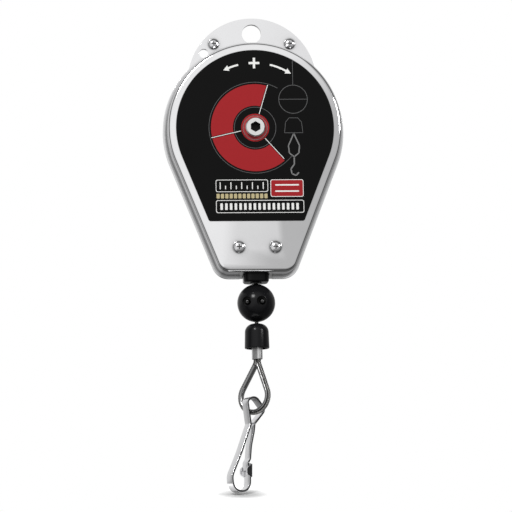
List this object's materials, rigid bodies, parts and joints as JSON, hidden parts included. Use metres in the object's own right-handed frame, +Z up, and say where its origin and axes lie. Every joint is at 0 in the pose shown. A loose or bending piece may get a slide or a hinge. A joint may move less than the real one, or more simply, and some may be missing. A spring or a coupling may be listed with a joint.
{
  "type": "tool balancer",
  "caption": "Small spring balancer with a plated pressed-steel housing, spring drum, steel cable, stop ball, bell cap and snap hook.",
  "frame": {"origin": "centre of the hanging hole, on the parting plane of the two shells", "axes": "+Z up along the cable, -Y out of the printed face, +X right seen from that face"},
  "size_m": [0.115, 0.0432, 0.3038],
  "materials": {
    "plated": "bright plated",
    "print": "printed sheet",
    "steel": "machined",
    "zinc": "bright zinc",
    "spring": "blued spring steel",
    "cast": "die cast",
    "black": "moulded",
    "nylon": "moulded",
    "brass": "sintered",
    "rope": "stranded",
    "ferrule": "pressed"
  },
  "bodies": {
    "housing": {"front_shell": "plated", "rear_shell": "plated", "face_label": "print", "crown_screws": "zinc", "crown_nuts": "zinc", "body_screws": "zinc", "body_nuts": "zinc", "front_bush": "nylon", "rear_bush": "brass", "click_leaf": "spring", "click_rivets": "zinc", "cable_run": "rope", "outlet_guide": "black"},
    "spindle": {"adjusting_spindle": "steel", "ratchet_wheel": "steel", "thrust_washer": "brass", "circlip": "spring"},
    "drum": {"cable_drum": "cast", "drum_cover": "cast", "cover_screws": "zinc", "spring_post": "steel", "power_spring": "spring", "wound_cable": "rope", "cable_anchor": "ferrule"},
    "load_end": {"ball_front": "black", "ball_rear": "black", "ball_screws": "zinc", "ball_nuts": "zinc", "bell_cap": "black", "ferrule": "ferrule", "thimble": "plated", "load_cable": "rope"},
    "hook": {"snap_hook": "plated"},
    "gate": {"hook_gate": "plated"}
  },
  "joints": [
    {"name": "cable_pull", "type": "slide", "parent": "housing", "child": "load_end", "axis": [0, 0, -1], "range_m": [0, 1], "stiffness_N_per_m": 3, "springref_m": -2.5, "deforming": ["wound_cable"]},
    {"name": "drum_spin", "type": "hinge", "parent": "housing", "child": "drum", "pos_m": [0, 0, -0.0637], "axis": [0, -1, 0], "range_deg": [0, 1440], "deforming": ["power_spring", "wound_cable"]},
    {"name": "tension_adjust", "type": "hinge", "parent": "housing", "child": "spindle", "pos_m": [0, 0, -0.0637], "axis": [0, 1, 0], "range_deg": [0, 1800], "deforming": ["click_leaf", "power_spring"]},
    {"name": "hook_swing", "type": "hinge", "parent": "load_end", "child": "hook", "pos_m": [-0.00343, 0.00075, -0.2398], "axis": [-0.5664, 0.8241, 0], "range_deg": [-40, 40]},
    {"name": "gate", "type": "hinge", "parent": "hook", "child": "gate", "pos_m": [-0.00388, 0.00044, -0.2502], "axis": [-0.5664, 0.8241, 0], "range_deg": [0, 14], "stiffness_Nm_per_rad": 0.05, "springref_deg": -11.46}
  ],
  "couplings": [
    {"joint": "drum_spin", "follows": "cable_pull", "rad_per_m": 25}
  ]
}
